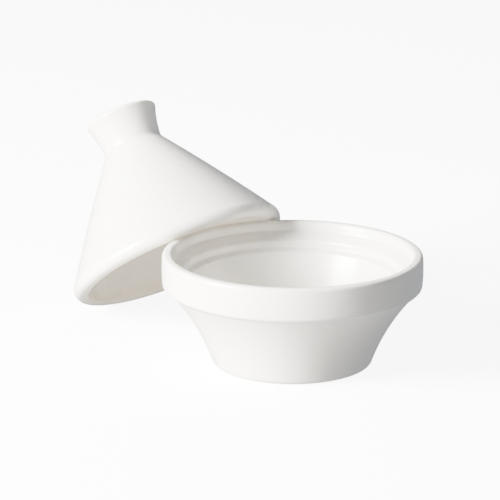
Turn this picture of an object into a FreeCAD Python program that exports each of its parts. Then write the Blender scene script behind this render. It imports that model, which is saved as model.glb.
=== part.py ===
"""Mini tagine in white glazed porcelain: a flared serving bowl and its conical lid.

Two fired pieces, each a solid of revolution. The bowl stands on the table with its axis
on +Z and the centre of its foot at the origin. The lid has been taken off and leans: its
rim stands on the table on one side and lies across the bowl's rim on the other. When it
is put on, the lid's rim drops inside the bowl's rim and rests on the ledge there.
"""
import FreeCAD
import Part

import math
import os
import re

import Sketcher

TABLE = "sizes"

# name, millimetres or degrees, what it is
SIZES = [
    ("rim_diameter", 120.0, "over the crown of the bowl's upright band"),
    ("bowl_height", 51.9, "table to the top of the lip"),
    ("band_height", 14.8, "top of the lip to the band's lower corner"),
    ("band_crown", 0.35, "how far the band's face swells between its corners"),
    ("lip_width", 4.4, "wall across the top of the lip"),
    ("lip_outer_share", 0.4, "rounding of the lip's outside edge, of the lip's width"),
    ("lip_inner_share", 0.43, "rounding of the lip's inside edge, of the lip's width"),
    ("band_round", 1.8, "band's lower corner"),
    ("crease_inset", 2.9, "band's lower corner in to the crease under it"),
    ("crease_drop", 2.0, "band's lower corner down to the crease under it"),
    ("crease_round", 1.0, "inside curve of the crease"),
    ("flare_hollow", 2.1, "how far the body is hollowed between crease and foot"),
    ("foot_diameter", 72.9, "outside of the foot"),
    ("foot_round", 3.0, "outside edge of the foot"),
    ("foot_ring_width", 5.5, "foot ring, outside to inside"),
    ("foot_recess", 2.0, "underside raised inside the foot ring"),
    ("foot_inner_round", 0.8, "inside edges of the foot ring"),
    ("well_taper", 0.85, "how far the wall between lip and ledge leans in"),
    ("seat_clearance", 1.6, "lid's rim to the wall round the ledge, all round"),
    ("seat_depth", 4.3, "top of the lip down to the outside of the ledge"),
    ("seat_width", 4.4, "ledge, measured inwards"),
    ("seat_fall", 3.9, "how much lower the ledge is at its inside edge"),
    ("seat_round", 1.1, "curves outside and inside the ledge"),
    ("step_depth", 3.1, "inside edge of the ledge down to the small step"),
    ("step_width", 2.6, "small step, measured inwards"),
    ("step_fall", 1.5, "how much lower the small step is at its inside edge"),
    ("step_round", 0.9, "curves outside and inside the small step"),
    ("body_wall", 3.2, "straight line of the flare in to the corner of the cavity's floor"),
    ("cavity_round", 20.0, "curve from the cavity wall to its floor"),
    ("floor_thickness", 5.0, "floor of the bowl above the foot's recess"),
    ("lid_height", 78.3, "lid's rim to the top of the knob"),
    ("lid_rim_height", 5.2, "upright outside of the lid's rim"),
    ("lid_rim_width", 6.1, "across the bottom of the lid's rim"),
    ("lid_rim_outer_share", 0.69, "rounding of the rim's outside edge, of the rim's height"),
    ("lid_rim_inner_round", 1.0, "lid's rim, lower inside edge"),
    ("shoulder_share", 0.8, "rounding of the rim into the cone, of the rim's height"),
    ("cone_swell", 0.55, "how far the cone's face swells between rim and neck"),
    ("neck_diameter", 28.8, "narrowest place under the knob"),
    ("knob_height", 17.0, "neck to the top of the knob"),
    ("neck_round", 3.5, "curve of the neck"),
    ("neck_wall", 4.6, "wall of the neck, measured level"),
    ("knob_diameter", 36.1, "top of the knob"),
    ("knob_hollow", 0.7, "how far the knob's side is hollowed"),
    ("knob_round", 1.4, "top edge of the knob"),
    ("knob_wall", 5.0, "wall of the knob at its side and its top"),
    ("inside_round", 3.0, "curves inside the lid"),
    ("lid_lean_angle", 35.94, "degrees that the leaning lid is off upright"),
    ("lid_lean_direction", 130.0, "degrees about +Z from +X, the way the lid leans"),
    ("lid_rest_gap", 0.15, "leaning lid to the bowl's lip"),
]

FULL_TURN = 360.0
X_AXIS = -1
Z_AXIS = -2
ORIGIN = (-1, 1)
START = 1
END = 2
LEAN_STEP = 0.005

# the bowl's band and ledge and the lid that drops inside them, out from the axis
BAND_EDGE = "(<rim_diameter> / 2 - <band_crown>)"
SEAT_EDGE = f"({BAND_EDGE} - <lip_width> - <well_taper>)"
LID_EDGE = f"({SEAT_EDGE} - <seat_clearance>)"
LID_ROUND = "(<lid_rim_height> * <lid_rim_outer_share>)"


def make_sizes(doc):
    """The sheet that holds every driving dimension under its own name."""
    sheet = doc.addObject("Spreadsheet::Sheet", TABLE)
    for row, (name, value, meaning) in enumerate(SIZES, start=1):
        sheet.set(f"A{row}", name)
        sheet.set(f"B{row}", str(value))
        sheet.setAlias(f"B{row}", name)
        sheet.set(f"C{row}", meaning)
    doc.recompute()
    return sheet


def origin_plane(body, role):
    """The body's own origin plane of that role."""
    for feature in body.Origin.OriginFeatures:
        if feature.Role == role:
            return feature
    raise RuntimeError(f"{body.Label} has no {role}")


def unit(vector):
    return vector * (1.0 / vector.Length)


def left_of(direction):
    """The direction a quarter turn to the left."""
    return FreeCAD.Vector(-direction.y, direction.x, 0)


def arc_between(start, end, bow):
    """Centre and radius of the arc that passes bow to the right of the chord's middle."""
    chord = end - start
    half = chord.Length / 2
    radius = (half * half + bow * bow) / (2 * abs(bow))
    towards_centre = left_of(unit(chord)) * math.copysign(radius - abs(bow), bow)
    return (start + end) * 0.5 + towards_centre, radius


class Outline:
    """A closed half section in a sketch, going anticlockwise from the axis and back.

    Each corner is (name, distance from the axis, height, rounding) with expressions of the
    sheet's names. A side is straight unless bows gives, under the name of the corner that
    it starts from, how far its middle stands out to the right of the straight line.
    """

    def __init__(self, sketch, sheet, corners, bows):
        self.sketch = sketch
        self.sheet = sheet
        self.names = [corner[0] for corner in corners]
        self.across = [corner[1] for corner in corners]
        self.up = [corner[2] for corner in corners]
        self.rounds = [corner[3] for corner in corners]
        self.bows = bows
        self.points = [
            FreeCAD.Vector(self.value(across), self.value(up), 0)
            for across, up in zip(self.across, self.up)
        ]

    def value(self, expression):
        return float(self.sheet.evalExpression(expression))

    def bind(self, constraint, name, expression):
        index = self.sketch.addConstraint(constraint)
        self.sketch.renameConstraint(index, name)
        self.sketch.setExpression(f"Constraints.{name}", expression)

    def side(self, i):
        """Start, end, centre and bow of side i; a straight side has no centre."""
        start = self.points[i]
        end = self.points[(i + 1) % len(self.points)]
        if self.names[i] not in self.bows:
            return start, end, None, 0.0
        bow = self.value(self.bows[self.names[i]])
        return start, end, arc_between(start, end, bow)[0], bow

    def heading(self, i, at_end):
        """Direction of travel along side i at one of its ends."""
        start, end, centre, bow = self.side(i)
        if centre is None:
            return unit(end - start)
        spoke = (end if at_end else start) - centre
        return unit(left_of(spoke)) * math.copysign(1.0, bow)

    def setback(self, i):
        """How far the rounding of corner i reaches back along its two sides."""
        if self.rounds[i] is None:
            return 0.0
        turn = self.heading(i - 1, True).getAngle(self.heading(i, False))
        return self.value(self.rounds[i]) * math.tan(turn / 2)

    def add_arc(self, start, end, centre, anticlockwise):
        """An arc from start to end; gives its number and which ends are which."""
        first, last = (start, end) if anticlockwise else (end, start)
        angles = [math.atan2(p.y - centre.y, p.x - centre.x) for p in (first, last)]
        circle = Part.Circle(centre, FreeCAD.Vector(0, 0, 1), (start - centre).Length)
        number = self.sketch.addGeometry(Part.ArcOfCircle(circle, angles[0], angles[1]))
        return (number, START, END) if anticlockwise else (number, END, START)

    def add_side(self, i):
        start, end, centre, bow = self.side(i)
        start = start + self.heading(i, False) * self.setback(i)
        end = end - self.heading(i, True) * self.setback((i + 1) % len(self.points))
        if centre is None:
            number = self.sketch.addGeometry(Part.LineSegment(start, end))
            return number, START, END
        return self.add_arc(start, end, centre, bow > 0)

    def hold_point(self, number, position, i):
        """Bind a point to corner i's distance from the axis and height."""
        for axis, kind, expression, suffix in (
            (Z_AXIS, "DistanceX", self.across[i], "across"),
            (X_AXIS, "DistanceY", self.up[i], "up"),
        ):
            if expression == "0":
                on_axis = Sketcher.Constraint("PointOnObject", number, position, axis)
                self.sketch.addConstraint(on_axis)
                continue
            size = self.value(expression)
            held = Sketcher.Constraint(kind, *ORIGIN, number, position, size)
            self.bind(held, f"{self.names[i]}_{suffix}", expression)

    def join(self, i, before, after):
        """Make corner i between two sides: sharp, or rounded about a construction point."""
        if self.rounds[i] is None:
            meet = Sketcher.Constraint("Coincident", before[0], before[2], after[0], after[1])
            self.sketch.addConstraint(meet)
            self.hold_point(after[0], after[1], i)
            return
        arriving = self.heading(i - 1, True)
        leaving = self.heading(i, False)
        turns_left = arriving.cross(leaving).z > 0
        start = self.points[i] - arriving * self.setback(i)
        end = self.points[i] + leaving * self.setback(i)
        radius = self.value(self.rounds[i])
        centre = start + left_of(arriving) * (radius if turns_left else -radius)
        arc = self.add_arc(start, end, centre, turns_left)
        corner = self.sketch.addGeometry(Part.Point(self.points[i]), True)
        for constraint in (
            Sketcher.Constraint("Tangent", before[0], before[2], arc[0], arc[1]),
            Sketcher.Constraint("Tangent", arc[0], arc[2], after[0], after[1]),
            Sketcher.Constraint("PointOnObject", corner, START, before[0]),
            Sketcher.Constraint("PointOnObject", corner, START, after[0]),
        ):
            self.sketch.addConstraint(constraint)
        self.hold_point(corner, START, i)
        rounding = Sketcher.Constraint("Radius", arc[0], radius)
        self.bind(rounding, f"{self.names[i]}_round", self.rounds[i])

    def draw(self):
        count = len(self.points)
        sides = [self.add_side(i) for i in range(count)]
        for i in range(count):
            self.join(i, sides[i - 1], sides[i])
        for i, side in enumerate(sides):
            if self.names[i] in self.bows:
                start, end, _, bow = self.side(i)
                radius = arc_between(start, end, bow)[1]
                swept = Sketcher.Constraint("Radius", side[0], radius)
                chord = self.chord_expression(i)
                rise = f"abs({self.bows[self.names[i]]})"
                expression = f"({chord} / 4 + ({rise})^2) / (2 * {rise})"
                self.bind(swept, f"{self.names[i]}_curve", expression)

    def chord_expression(self, i):
        """Square of the straight length of side i, from the sheet's names."""
        j = (i + 1) % len(self.points)
        across = f"(({self.across[j]}) - ({self.across[i]}))^2"
        up = f"(({self.up[j]}) - ({self.up[i]}))^2"
        return f"({across} + {up})"


def sized(words):
    """An expression on the sheet: <name> stands for the cell of that name."""
    return re.sub(r"<(\w+)>", TABLE + r".\1", words)


def turned_body(doc, sheet, label, corners, bows):
    """A body turned about Z from one closed half section."""
    body = doc.addObject("PartDesign::Body", label)
    body.Label = label
    sketch = body.newObject("Sketcher::SketchObject", f"{label}_section")
    sketch.AttachmentSupport = (origin_plane(body, "XZ_Plane"), "")
    sketch.MapMode = "FlatFace"
    corners = [
        (name, sized(across), sized(up), sized(rounding) if rounding else None)
        for name, across, up, rounding in corners
    ]
    bows = {name: sized(bow) for name, bow in bows.items()}
    Outline(sketch, sheet, corners, bows).draw()
    doc.recompute()
    turned = body.newObject("PartDesign::Revolution", f"{label}_turned")
    turned.Profile = sketch
    turned.ReferenceAxis = (sketch, ["V_Axis"])
    turned.Angle = FULL_TURN
    body.Tip = turned
    doc.recompute()
    return body


def make_bowl(doc, sheet):
    band_edge = BAND_EDGE
    band_bottom = "(<bowl_height> - <band_height>)"
    foot_edge = "<foot_diameter> / 2"
    ring_inside = "(<foot_diameter> / 2 - <foot_ring_width>)"
    seat_edge = SEAT_EDGE
    lip_outer_round = "<lip_width> * <lip_outer_share>"
    lip_inner_round = "<lip_width> * <lip_inner_share>"
    crease_edge = f"({band_edge} - <crease_inset>)"
    crease_top = f"({band_bottom} - <crease_drop>)"
    seat_top = "(<bowl_height> - <seat_depth>)"
    well_edge = f"({seat_edge} - <seat_width>)"
    well_top = f"({seat_top} - <seat_fall>)"
    step_top = f"({well_top} - <step_depth>)"
    cavity_edge = f"({well_edge} - <step_width>)"
    cavity_top = f"({step_top} - <step_fall>)"
    floor = "(<foot_recess> + <floor_thickness>)"
    flare_at_floor = f"({foot_edge} + ({crease_edge} - {foot_edge}) * {floor} / {crease_top})"
    floor_edge = f"({flare_at_floor} - <body_wall>)"
    corners = [
        ("under", "0", "<foot_recess>", None),
        ("recess", ring_inside, "<foot_recess>", "<foot_inner_round>"),
        ("ring_inside", ring_inside, "0", "<foot_inner_round>"),
        ("ring_outside", foot_edge, "0", "<foot_round>"),
        ("crease", crease_edge, crease_top, "<crease_round>"),
        ("band_bottom", band_edge, band_bottom, "<band_round>"),
        ("lip_outside", band_edge, "<bowl_height>", lip_outer_round),
        ("lip_inside", f"({band_edge} - <lip_width>)", "<bowl_height>", lip_inner_round),
        ("seat", seat_edge, seat_top, "<seat_round>"),
        ("seat_inside", well_edge, well_top, "<seat_round>"),
        ("step", well_edge, step_top, "<step_round>"),
        ("step_inside", cavity_edge, cavity_top, "<step_round>"),
        ("floor", floor_edge, floor, "<cavity_round>"),
        ("floor_middle", "0", floor, None),
    ]
    bows = {"band_bottom": "<band_crown>", "ring_outside": "-<flare_hollow>"}
    return turned_body(doc, sheet, "bowl", corners, bows)


def make_lid(doc, sheet):
    rim_edge = LID_EDGE
    rim_inside = f"({LID_EDGE} - <lid_rim_width>)"
    neck_height = "(<lid_height> - <knob_height>)"
    ceiling = "(<lid_height> - <knob_wall>)"
    corners = [
        ("ceiling_middle", "0", ceiling, None),
        ("ceiling", "(<knob_diameter> / 2 - <knob_wall>)", ceiling, "<inside_round>"),
        ("throat", "(<neck_diameter> / 2 - <neck_wall>)", neck_height, "<inside_round>"),
        ("rim_upper", rim_inside, "<lid_rim_height>", "<inside_round>"),
        ("rim_inside", rim_inside, "0", "<lid_rim_inner_round>"),
        ("rim_outside", rim_edge, "0", LID_ROUND),
        ("shoulder", rim_edge, "<lid_rim_height>", "<lid_rim_height> * <shoulder_share>"),
        ("neck", "<neck_diameter> / 2", neck_height, "<neck_round>"),
        ("knob_edge", "<knob_diameter> / 2", "<lid_height>", "<knob_round>"),
        ("knob_middle", "0", "<lid_height>", None),
    ]
    bows = {"shoulder": "<cone_swell>", "neck": "-<knob_hollow>"}
    return turned_body(doc, sheet, "lid", corners, bows)


def leaning(sheet, distance):
    """Placement of the lid, its rim on the table, that far out from the bowl's axis."""
    angle = math.radians(sheet.lid_lean_angle)
    direction = math.radians(sheet.lid_lean_direction)
    edge = sheet.evalExpression(sized(LID_ROUND))
    reach = sheet.evalExpression(sized(LID_EDGE)) - edge
    height = reach * math.sin(angle) + edge * (1 - math.cos(angle))
    hinge = FreeCAD.Vector(-math.sin(direction), math.cos(direction), 0)
    base = FreeCAD.Vector(math.cos(direction), math.sin(direction), 0) * distance
    base.z = height
    return FreeCAD.Placement(base, FreeCAD.Rotation(hinge, sheet.lid_lean_angle))


def faces_between(shape, low, high):
    """The faces that come within that range of heights."""
    near = [f for f in shape.Faces if f.BoundBox.ZMax > low and f.BoundBox.ZMin < high]
    return Part.makeCompound(near)


def lean_on_bowl(sheet, bowl, lid):
    """Slide the leaning lid in towards the bowl until its rim comes down on the lip.

    A shift can't close the gap by more than its own length, so each step of the whole
    spare gap is safe, and the steps shrink towards the place where the lid rests.
    """
    lip = faces_between(bowl.Shape, sheet.bowl_height - sheet.lip_width, sheet.bowl_height)
    rim = faces_between(lid.Shape, 0, sheet.lid_rim_height)
    distance = sheet.rim_diameter
    spare = distance
    while spare > LEAN_STEP:
        rim.Placement = leaning(sheet, distance)
        spare = lip.distToShape(rim)[0] - sheet.lid_rest_gap
        distance -= spare
    lid.Placement = leaning(sheet, distance)


def check(doc, bodies):
    for thing in doc.Objects:
        if {"Invalid", "Error"} & set(thing.State):
            raise RuntimeError(f"{thing.Label}: {thing.State}")
    for body in bodies:
        shape = body.Shape
        if shape.isNull() or not shape.isValid() or len(shape.Solids) != 1:
            raise RuntimeError(f"{body.Label} isn't one valid solid")
        print(f"{body.Label}: {shape.Volume / 1000:.1f} cm3, {shape.BoundBox}")


doc = FreeCAD.newDocument("mini_tagine")
sheet = make_sizes(doc)
bowl = make_bowl(doc, sheet)
lid = make_lid(doc, sheet)
lean_on_bowl(sheet, bowl, lid)
doc.recompute()
check(doc, (bowl, lid))
os.makedirs("parts", exist_ok=True)
for body in (bowl, lid):
    body.Shape.exportStep(f"parts/{body.Label}.step")
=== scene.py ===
"""Looks of the mini tagine: glazed white porcelain, a pale floor and soft studio light.

Both pieces keep their CAD meshes, and get their finish here. Lengths are in metres.
"""
import math

import bpy
import numpy as np
from mathutils import Matrix, Vector


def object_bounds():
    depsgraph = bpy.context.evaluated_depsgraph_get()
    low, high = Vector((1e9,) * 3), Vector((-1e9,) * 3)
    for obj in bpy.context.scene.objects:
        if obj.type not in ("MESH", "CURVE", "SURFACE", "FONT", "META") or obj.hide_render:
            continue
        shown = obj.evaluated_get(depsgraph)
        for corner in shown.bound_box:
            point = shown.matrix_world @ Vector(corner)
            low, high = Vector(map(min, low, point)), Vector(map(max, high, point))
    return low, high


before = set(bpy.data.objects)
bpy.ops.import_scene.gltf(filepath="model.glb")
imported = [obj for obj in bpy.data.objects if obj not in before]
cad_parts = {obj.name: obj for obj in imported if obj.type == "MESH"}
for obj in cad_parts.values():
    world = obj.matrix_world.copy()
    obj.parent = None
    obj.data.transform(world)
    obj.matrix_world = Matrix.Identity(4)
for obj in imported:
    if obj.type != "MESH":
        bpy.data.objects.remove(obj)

CAD_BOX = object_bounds()
MM = 0.001

# where the camera stands, how far it looks down, and its small tilt
CAMERA_PLACE = Vector((-0.0196, -1.4095, 0.4486))
CAMERA_DOWN = math.radians(15.673)
CAMERA_TILT = math.radians(0.238)
SENSOR_WIDTH = 36.0
LENS = 230.4

# the floor, flat as far as this and then curved up into a wall
FLOOR_REACH = 5.0
SWEEP_ROUND = 1.5
SWEEP_STEPS = 12
WALL_HEIGHT = 6.0
FLOOR_SIDES = 64
FLOOR_DROP = 0.05 * MM
FLOOR_CLOUDS_PER_METRE = 3.0
FLOOR_GLOW = 9.0

# the soft box: azimuth 0 is behind the camera, 90 on the right
KEY_AZIMUTH = -64
KEY_ELEVATION = 20
KEY_DISTANCE = 1.3
KEY_WIDTH = 0.65
KEY_POWER = 226
KEY_COLOUR = (1, 0.985, 0.955)

# the light that the left half of the table throws up
BOUNCE_MIDDLE = (-0.272, -0.262, -30 * MM)
BOUNCE_WIDTH = 0.52
BOUNCE_DEPTH = 0.55
BOUNCE_POWER = 5.5
BOUNCE_COLOUR = (1, 0.95, 0.87)

SURROUND_COLOUR = (0.92, 0.96, 1.04, 1)
SURROUND_STRENGTH = 0.55

# where a crease on each piece is painted darker as shade: the height along each piece's axis and the
# least distance from it
CREASE_HEIGHT = 35.1 * MM
CREASE_EDGE = 50.0 * MM
NECK_HEIGHT = 61.3 * MM
NECK_EDGE = 12.0 * MM

# the middle of the lid's wall, from the rim's top to the neck and on up the knob
RIM_TOP = 5.2 * MM
LID_TOP = 78.3 * MM
WALL_MIDDLE_AT_RIM = 49.7 * MM
WALL_MIDDLE_AT_NECK = 12.1 * MM
KNOB_FLARE = 3.4 * MM
KNOB_TOP_MIDDLE = LID_TOP - 2.5 * MM

# sizes of the glaze's features: how many go into a metre, and how high they stand
CLOUDS_PER_METRE = 38.0
WANDER_PER_METRE = 260.0
GRAINS_PER_METRE = 2400.0
RIPPLES_PER_METRE = 70.0
PEEL_PER_METRE = 520.0
RIPPLE_RELIEF = 0.10 * MM
PEEL_RELIEF = 0.004 * MM
RING_SPACING = 2.6 * MM
RING_RELIEF = 0.0008 * MM
GRIT_RELIEF = 0.05 * MM

# how far the painted crease shade reaches from its crease, and how strong it is there
CREASE_SHADE_CORE = 0.3 * MM
CREASE_SHADE_REACH = 2.2 * MM
CREASE_SHADE_STRENGTH = 0.55

# the wiped face: bare up to one height and glazed from the next, along a wandering edge
BARE_UP_TO = 0.1 * MM
GLAZED_FROM = 0.2 * MM
EDGE_WANDER = 0.25 * MM

# the finish of the glaze, its clear coat and the bare body
GLAZE_ROUGHNESS = (0.24, 0.32)
BARE_ROUGHNESS = 0.75
COAT_WEIGHT = 0.35
COAT_ROUGHNESS = 0.2
GLAZE_IOR = 1.5

# albedos
GLAZE_WHITE = (0.89, 0.862, 0.80, 1)
GLAZE_CREAM = (0.87, 0.835, 0.76, 1)
# painted shade with painted warm bounce light, for the inside of the lid
LID_INSIDE_PAINTED_SHADE = (0.84, 0.775, 0.66, 1)
# painted shade: the cooler, greyer colour laid into each piece's outside crease
CREASE_PAINTED_SHADE = (0.79, 0.805, 0.785, 1)
BISQUE_PALE = (0.80, 0.755, 0.67, 1)
BISQUE_DARK = (0.70, 0.645, 0.55, 1)
FLOOR_PALE = (0.88, 0.88, 0.875, 1)
FLOOR_CLOUDED = (0.86, 0.86, 0.855, 1)


# ---------------------------------------------------------------- shader helpers

class Shader:
    """A material's node tree with short ways to add nodes to it."""

    def __init__(self, name):
        self.material = bpy.data.materials.new(name)
        self.material.use_nodes = True
        self.tree = self.material.node_tree
        self.surface = self.tree.nodes["Principled BSDF"]

    def add(self, kind, links=None, **settings):
        """A node; links holds its input sockets' values or the sockets that feed them."""
        node = self.tree.nodes.new(kind)
        for key, value in settings.items():
            setattr(node, key, value)
        for key, value in (links or {}).items():
            self.feed(node.inputs[key], value)
        return node

    def feed(self, socket, value):
        if isinstance(value, bpy.types.NodeSocket):
            self.tree.links.new(value, socket)
        else:
            socket.default_value = value

    def math(self, operation, a, b=0.0):
        return self.add("ShaderNodeMath", {0: a, 1: b}, operation=operation).outputs[0]

    def vector_math(self, operation, a, b=(0, 0, 0)):
        return self.add("ShaderNodeVectorMath", {0: a, 1: b}, operation=operation)

    def scaled(self, vector, factor):
        links = {0: vector, "Scale": factor}
        return self.add("ShaderNodeVectorMath", links, operation="SCALE").outputs["Vector"]

    def ramp(self, value, low, high, start=0.0, end=1.0):
        """Goes smoothly from start to end while value goes from low to high."""
        links = {"Value": value, "From Min": low, "From Max": high, "To Min": start, "To Max": end}
        node = self.add("ShaderNodeMapRange", links, interpolation_type="SMOOTHSTEP")
        return node.outputs["Result"]

    def ramp_straight(self, value, low, high, start, end):
        """Goes evenly from start to end while value goes from low to high."""
        links = {"Value": value, "From Min": low, "From Max": high, "To Min": start, "To Max": end}
        return self.add("ShaderNodeMapRange", links).outputs["Result"]

    def noise(self, place, scale, detail=2.0):
        links = {"Vector": place, "Scale": scale, "Detail": detail}
        return self.add("ShaderNodeTexNoise", links).outputs["Fac"]

    def mix(self, factor, a, b):
        node = self.add("ShaderNodeMix", data_type="RGBA")
        self.feed(node.inputs["Factor"], factor)
        self.feed(node.inputs["A"], a)
        self.feed(node.inputs["B"], b)
        return node.outputs["Result"]

    def set(self, **values):
        """Sets the surface's own sockets; an underscore stands for a space."""
        for key, value in values.items():
            self.feed(self.surface.inputs[key.replace("_", " ")], value)


def turning_axis(piece):
    """Axis of a turned piece and the place where it leaves the piece's low end.

    The surface of a turned piece is spread evenly about its axis, so that the axis is the
    one direction of its spread that has no equal.
    """
    mesh = piece.data
    places = np.array([polygon.center for polygon in mesh.polygons])
    areas = np.array([polygon.area for polygon in mesh.polygons])
    middle = np.average(places, axis=0, weights=areas)
    spread, directions = np.linalg.eigh(np.cov((places - middle).T, aweights=areas))
    odd_one = 0 if spread[1] - spread[0] > spread[2] - spread[1] else 2
    axis = directions[:, odd_one] * np.sign(directions[2, odd_one])
    corners = np.array([vertex.co for vertex in mesh.vertices])
    lowest = ((corners - middle) @ axis).min()
    return Vector(axis), Vector(middle + axis * lowest)


def turned_place(shader, axis, foot):
    """The place on the piece, its height along the axis and its distance from the axis."""
    place = shader.add("ShaderNodeTexCoord").outputs["Object"]
    from_foot = shader.vector_math("SUBTRACT", place, foot).outputs["Vector"]
    height = shader.vector_math("DOT_PRODUCT", from_foot, axis).outputs["Value"]
    along = shader.scaled(axis, height)
    outwards = shader.vector_math("SUBTRACT", from_foot, along).outputs["Vector"]
    across = shader.vector_math("LENGTH", outwards).outputs["Value"]
    return place, height, across


# ---------------------------------------------------------------- materials

def inside_of_lid(shader, height, across):
    """1 on the inside of the lid and 0 on its outside, told apart by the wall's middle."""
    cone = shader.ramp_straight(height, RIM_TOP, NECK_HEIGHT, WALL_MIDDLE_AT_RIM, WALL_MIDDLE_AT_NECK)
    knob = shader.ramp_straight(height, NECK_HEIGHT, LID_TOP, 0.0, KNOB_FLARE)
    within = shader.math("LESS_THAN", across, shader.math("ADD", cone, knob))
    return shader.math("MULTIPLY", within, shader.math("LESS_THAN", height, KNOB_TOP_MIDDLE))


def porcelain(name, piece, crease_shade_height, crease_shade_edge, painted_inside_shade=False):
    """White glaze with painted shade in one outside crease, and bare body where the piece stood.

    A piece with painted inside shade gets a darker, warmer colour on its inside: painted shade with
    painted warm bounce light.
    """
    shader = Shader(name)
    axis, foot = turning_axis(piece)
    place, height, across = turned_place(shader, axis, foot)

    # the glaze varies softly at random
    clouds = shader.noise(place, CLOUDS_PER_METRE, 3.0)
    glaze = shader.mix(shader.ramp(clouds, 0.42, 0.68), GLAZE_WHITE, GLAZE_CREAM)
    # painted shade: the lid's inside is painted darker and warmer, as shade and warm bounce light
    if painted_inside_shade:
        glaze = shader.mix(inside_of_lid(shader, height, across), glaze, LID_INSIDE_PAINTED_SHADE)
    # painted shade: the outside crease is painted cooler and greyer, as shade would fall there
    from_crease = shader.math("ABSOLUTE", shader.math("SUBTRACT", height, crease_shade_height))
    crease_shade = shader.ramp(from_crease, CREASE_SHADE_CORE, CREASE_SHADE_REACH, CREASE_SHADE_STRENGTH, 0.0)
    outside = shader.ramp(across, crease_shade_edge, crease_shade_edge + 1 * MM)
    glaze = shader.mix(shader.math("MULTIPLY", crease_shade, outside), glaze, CREASE_PAINTED_SHADE)

    # the face it stood on in the kiln is wiped clean of glaze, with an uneven edge
    wander = shader.noise(place, WANDER_PER_METRE)
    wiped = shader.math("ADD", height, shader.math("MULTIPLY", wander, -EDGE_WANDER))
    bare = shader.ramp(wiped, BARE_UP_TO, GLAZED_FROM, 1.0, 0.0)
    grains = shader.noise(place, GRAINS_PER_METRE, 3.0)
    bisque = shader.mix(shader.ramp(grains, 0.35, 0.7), BISQUE_PALE, BISQUE_DARK)

    # slow unevenness of the glaze, faint turning rings under it, and the bisque's grit
    ripple = shader.noise(place, RIPPLES_PER_METRE, 1.0)
    peel = shader.noise(place, PEEL_PER_METRE, 1.0)
    path = shader.math("ADD", across, height)
    rings = shader.math("SINE", shader.math("MULTIPLY", path, 2 * math.pi / RING_SPACING))
    glaze_relief = shader.math("ADD", shader.math("MULTIPLY", ripple, RIPPLE_RELIEF),
                               shader.math("MULTIPLY", rings, RING_RELIEF))
    glaze_relief = shader.math("ADD", glaze_relief, shader.math("MULTIPLY", peel, PEEL_RELIEF))
    grit = shader.math("MULTIPLY", shader.math("MULTIPLY", grains, bare), GRIT_RELIEF)
    relief = shader.math("ADD", glaze_relief, grit)
    bump = shader.add("ShaderNodeBump", {"Height": relief, "Strength": 1.0, "Distance": 1.0})

    glaze_gloss = shader.ramp(clouds, 0.3, 0.75, *GLAZE_ROUGHNESS)
    gloss = shader.math("MAXIMUM", glaze_gloss, shader.math("MULTIPLY", bare, BARE_ROUGHNESS))
    shader.set(
        Base_Color=shader.mix(bare, glaze, bisque),
        Roughness=gloss,
        Normal=bump.outputs["Normal"],
        IOR=GLAZE_IOR,
        Coat_Weight=shader.math("SUBTRACT", COAT_WEIGHT, shader.math("MULTIPLY", bare, COAT_WEIGHT)),
        Coat_Roughness=COAT_ROUGHNESS,
        Coat_IOR=GLAZE_IOR,
        Subsurface_Weight=0.12,
        Subsurface_Radius=(1.0, 0.8, 0.6),
        Subsurface_Scale=1.2 * MM,
    )
    return shader.material


def pale_floor():
    shader = Shader("floor_pale")
    place = shader.add("ShaderNodeTexCoord").outputs["Object"]
    clouds = shader.noise(place, FLOOR_CLOUDS_PER_METRE)
    shader.set(
        Base_Color=shader.mix(shader.ramp(clouds, 0.35, 0.65), FLOOR_PALE, FLOOR_CLOUDED),
        Roughness=0.9,
        Specular_IOR_Level=0.1,
        Emission_Color=FLOOR_PALE,
        Emission_Strength=FLOOR_GLOW,
    )
    return shader.material


def coat(piece, material):
    """Puts the material in the slots of a CAD node."""
    for holder in piece.material_slots:
        holder.material = material


# ---------------------------------------------------------------- stage

def make_floor():
    """A flat floor that sweeps up into a wall all round, far from the object."""
    outline = [(FLOOR_REACH, 0.0)]
    for step in range(1, SWEEP_STEPS + 1):
        turn = math.pi / 2 * step / SWEEP_STEPS
        outline.append((FLOOR_REACH + SWEEP_ROUND * math.sin(turn), SWEEP_ROUND * (1 - math.cos(turn))))
    outline.append((FLOOR_REACH + SWEEP_ROUND, WALL_HEIGHT))

    mesh = bpy.data.meshes.new("floor")
    corners = [(0, 0, 0)]
    faces = []
    for reach, height in outline:
        for side in range(FLOOR_SIDES):
            turn = 2 * math.pi * side / FLOOR_SIDES
            corners.append((reach * math.cos(turn), reach * math.sin(turn), height))
    for side in range(FLOOR_SIDES):
        following = (side + 1) % FLOOR_SIDES
        faces.append((0, 1 + side, 1 + following))
        for ring in range(len(outline) - 1):
            low = 1 + ring * FLOOR_SIDES
            high = low + FLOOR_SIDES
            faces.append((low + side, high + side, high + following, low + following))
    mesh.from_pydata(corners, [], faces)
    mesh.shade_smooth()
    floor = bpy.data.objects.new("floor", mesh)
    floor.location.z = -FLOOR_DROP
    mesh.materials.append(pale_floor())
    bpy.context.scene.collection.objects.link(floor)
    floor.visible_diffuse = False
    floor.visible_glossy = False
    floor.visible_shadow = False


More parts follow.
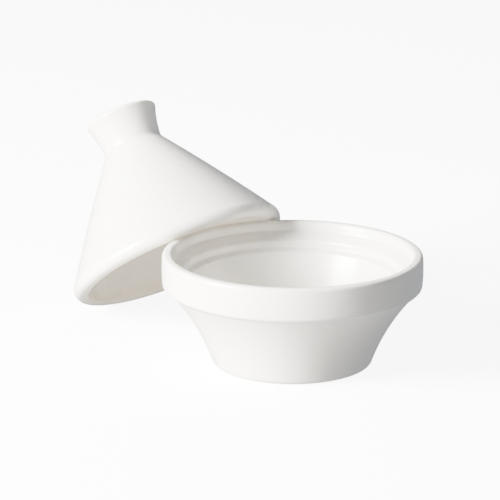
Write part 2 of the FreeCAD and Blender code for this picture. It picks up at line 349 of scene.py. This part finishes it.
def make_camera():
    """The camera's axes: to the right, up, and back towards the viewer."""
    right = Vector((1, 0, 0))
    up = Vector((0, math.sin(CAMERA_DOWN), math.cos(CAMERA_DOWN)))
    back = Vector((0, -math.cos(CAMERA_DOWN), math.sin(CAMERA_DOWN)))
    tilted_right = right * math.cos(CAMERA_TILT) + up * math.sin(CAMERA_TILT)
    tilted_up = up * math.cos(CAMERA_TILT) - right * math.sin(CAMERA_TILT)
    lens = bpy.data.cameras.new("camera")
    lens.sensor_width = SENSOR_WIDTH
    lens.lens = LENS
    lens.clip_start = 0.01
    lens.clip_end = 50
    camera = bpy.data.objects.new("camera", lens)
    turn = Matrix((tilted_right, tilted_up, back)).transposed().to_4x4()
    camera.matrix_world = Matrix.Translation(CAMERA_PLACE) @ turn
    bpy.context.scene.collection.objects.link(camera)
    bpy.context.scene.camera = camera


def make_area(name, shape, width, power, colour):
    panel = bpy.data.lights.new(name, "AREA")
    panel.shape = shape
    panel.size = width
    panel.energy = power
    panel.color = colour
    light = bpy.data.objects.new(name, panel)
    bpy.context.scene.collection.objects.link(light)
    return light


def make_key():
    """A round soft box aimed at the object's middle."""
    low, high = CAD_BOX
    target = (low + high) / 2
    round_z = math.radians(KEY_AZIMUTH)
    above = math.radians(KEY_ELEVATION)
    out = Vector((math.sin(round_z) * math.cos(above), -math.cos(round_z) * math.cos(above),
                  math.sin(above)))
    light = make_area("key", "DISK", KEY_WIDTH, KEY_POWER, KEY_COLOUR)
    light.location = target + out * KEY_DISTANCE
    light.rotation_mode = "QUATERNION"
    light.rotation_quaternion = (-out).to_track_quat("-Z", "Y")


def make_bounce():
    """A panel that faces up from a little under the floor, which lets its light through."""
    light = make_area("bounce", "RECTANGLE", BOUNCE_WIDTH, BOUNCE_POWER, BOUNCE_COLOUR)
    light.data.size_y = BOUNCE_DEPTH
    light.location = BOUNCE_MIDDLE
    light.rotation_euler = (math.pi, 0, 0)
    light.visible_camera = False
    light.visible_glossy = False


def make_surroundings():
    world = bpy.data.worlds.new("studio")
    world.use_nodes = True
    shade = world.node_tree.nodes["Background"]
    shade.inputs["Color"].default_value = SURROUND_COLOUR
    shade.inputs["Strength"].default_value = SURROUND_STRENGTH
    bpy.context.scene.world = world


# ---------------------------------------------------------------- the scene

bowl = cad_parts["bowl"]
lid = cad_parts["lid"]
coat(bowl, porcelain("glaze_bowl", bowl, CREASE_HEIGHT, CREASE_EDGE))
# the lid's inside gets painted shade and painted warm bounce light
coat(lid, porcelain("glaze_lid", lid, NECK_HEIGHT, NECK_EDGE, painted_inside_shade=True))

make_floor()
make_camera()
make_key()
make_bounce()
make_surroundings()
